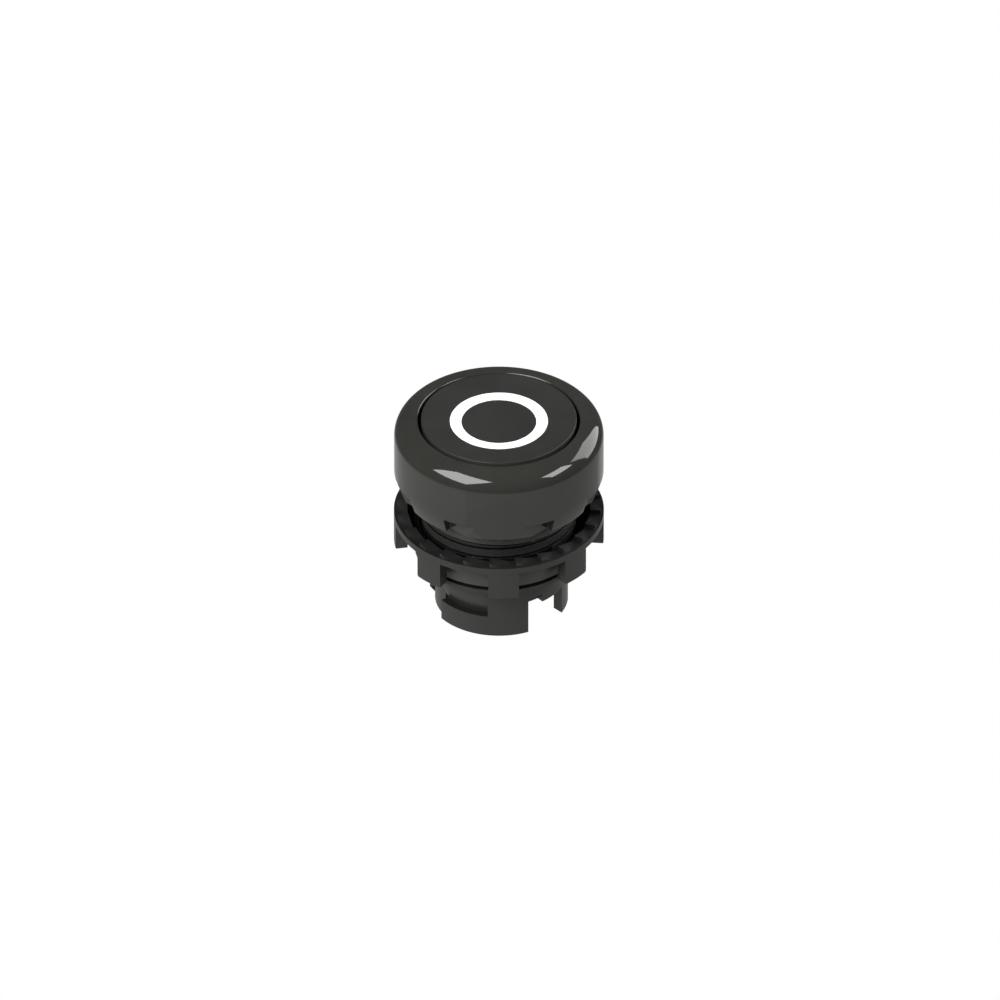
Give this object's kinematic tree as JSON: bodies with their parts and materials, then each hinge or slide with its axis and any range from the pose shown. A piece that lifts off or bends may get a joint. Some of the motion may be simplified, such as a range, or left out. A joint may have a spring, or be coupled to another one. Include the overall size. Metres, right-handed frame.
{
  "type": "push button actuator",
  "caption": "Round flush push-button actuator for a 22 mm panel hole: bezel, spring-return cap with an inlaid ring symbol, threaded body and fixing nut.",
  "frame": {"origin": "on the button's axis, level with the ends of the bayonet legs", "axes": "+Z along the button's axis towards the cap, +X through one of the two slots in the bayonet socket"},
  "size_m": [0.0296, 0.0296, 0.0306],
  "materials": {
    "cap_plastic": "moulded black, satin",
    "symbol_plastic": "moulded white inlay",
    "bezel_plastic": "moulded black, glossy",
    "body_plastic": "moulded black, satin",
    "nut_plastic": "moulded black, satin",
    "seal_rubber": "black elastomer",
    "spring_steel": "drawn wire",
    "ring_steel": "stamped sheet"
  },
  "bodies": {
    "housing": {"body": "body_plastic", "bezel": "bezel_plastic", "panel_gasket": "seal_rubber", "bezel_seal": "seal_rubber", "seal_clamp_ring": "ring_steel", "diaphragm_seal": "seal_rubber", "return_spring": "spring_steel"},
    "button": {"button_cap": "cap_plastic", "symbol_ring": "symbol_plastic", "plunger": "body_plastic", "ram": "body_plastic"},
    "nut": {"ring_nut": "nut_plastic"}
  },
  "joints": [
    {"name": "button_press", "type": "slide", "parent": "housing", "child": "button", "axis": [0, 0, -1], "range_m": [0, 0.004], "stiffness_N_per_m": 700, "springref_m": -0.004, "deforming": ["return_spring", "diaphragm_seal"]},
    {"name": "nut_turn", "type": "hinge", "parent": "housing", "child": "nut", "pos_m": [0, 0, 0.0125], "axis": [0, 0, 1], "continuous": true}
  ]
}
